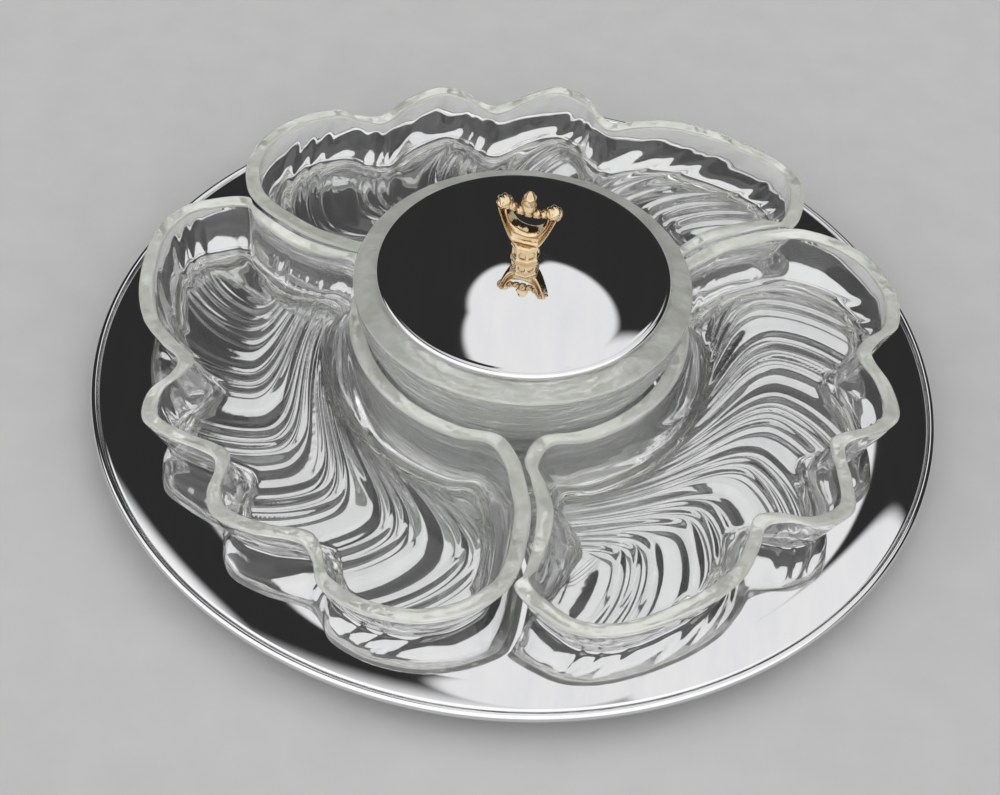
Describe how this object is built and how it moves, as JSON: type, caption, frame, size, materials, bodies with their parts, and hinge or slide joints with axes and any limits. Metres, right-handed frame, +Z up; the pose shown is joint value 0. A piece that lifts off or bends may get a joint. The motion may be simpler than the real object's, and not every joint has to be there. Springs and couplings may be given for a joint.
{
  "type": "lazy susan",
  "caption": "Round chromed serving tray on a ball-bearing turntable, with lobed swirl-ribbed glass dishes round a glass bowl under a chromed lid with a cast loop finial.",
  "frame": {"origin": "on the axis of the tray, at the level of the table under the feet", "axes": "+Z up along the axis of the tray; -Y faces the viewer of the picture"},
  "size_m": [0.4059, 0.406, 0.1315],
  "materials": {
    "chrome_plate": "mirror chrome plate on spun steel",
    "clear_glass": "clear pressed glass, polished, faintly green at thick edges",
    "pale_gold": "pale gold plate on a casting, polished, dark in the recesses",
    "base_paint": "black baked enamel on pressed steel",
    "bearing_steel": "zinc plated steel, lightly oiled",
    "fastener_steel": "bright zinc plate",
    "cage_plastic": "natural nylon",
    "foot_rubber": "matt black rubber"
  },
  "bodies": {
    "base": {"base_pan": "base_paint", "foot_1": "foot_rubber", "foot_2": "foot_rubber", "foot_3": "foot_rubber", "foot_4": "foot_rubber", "lower_race": "bearing_steel", "lower_race_rivets": "fastener_steel"},
    "cage": {"ball_cage": "cage_plastic", "bearing_balls": "bearing_steel"},
    "tray": {"tray": "chrome_plate", "upper_race": "bearing_steel", "upper_race_rivets": "fastener_steel", "pivot_bolt": "fastener_steel", "pivot_washer": "fastener_steel", "pivot_nut": "fastener_steel"},
    "dish_1": {"dish_1": "clear_glass"},
    "dish_2": {"dish_2": "clear_glass"},
    "dish_3": {"dish_3": "clear_glass"},
    "bowl": {"bowl": "clear_glass"},
    "lid": {"lid": "chrome_plate", "finial": "pale_gold", "finial_screw": "fastener_steel", "finial_washer": "fastener_steel"}
  },
  "joints": [
    {"name": "tray_spin", "type": "hinge", "parent": "base", "child": "tray", "pos_m": [0, 0, 0.0226], "axis": [0, 0, 1], "continuous": true},
    {"name": "cage_spin", "type": "hinge", "parent": "base", "child": "cage", "pos_m": [0, 0, 0.01905], "axis": [0, 0, 1], "continuous": true},
    {"name": "dish_1_lift", "type": "slide", "parent": "tray", "child": "dish_1", "axis": [0.2218, -0.1333, 0.9659], "range_m": [0, 0.08]},
    {"name": "dish_2_lift", "type": "slide", "parent": "tray", "child": "dish_2", "axis": [0.0045, 0.2588, 0.9659], "range_m": [0, 0.08]},
    {"name": "dish_3_lift", "type": "slide", "parent": "tray", "child": "dish_3", "axis": [-0.2264, -0.1255, 0.9659], "range_m": [0, 0.08]},
    {"name": "bowl_lift", "type": "slide", "parent": "tray", "child": "bowl", "axis": [0, 0, 1], "range_m": [0, 0.12]},
    {"name": "lid_lift", "type": "slide", "parent": "bowl", "child": "lid", "axis": [0, 0, 1], "range_m": [0, 0.08]}
  ],
  "couplings": [
    {"joint": "cage_spin", "follows": "tray_spin", "ratio": 0.5}
  ]
}
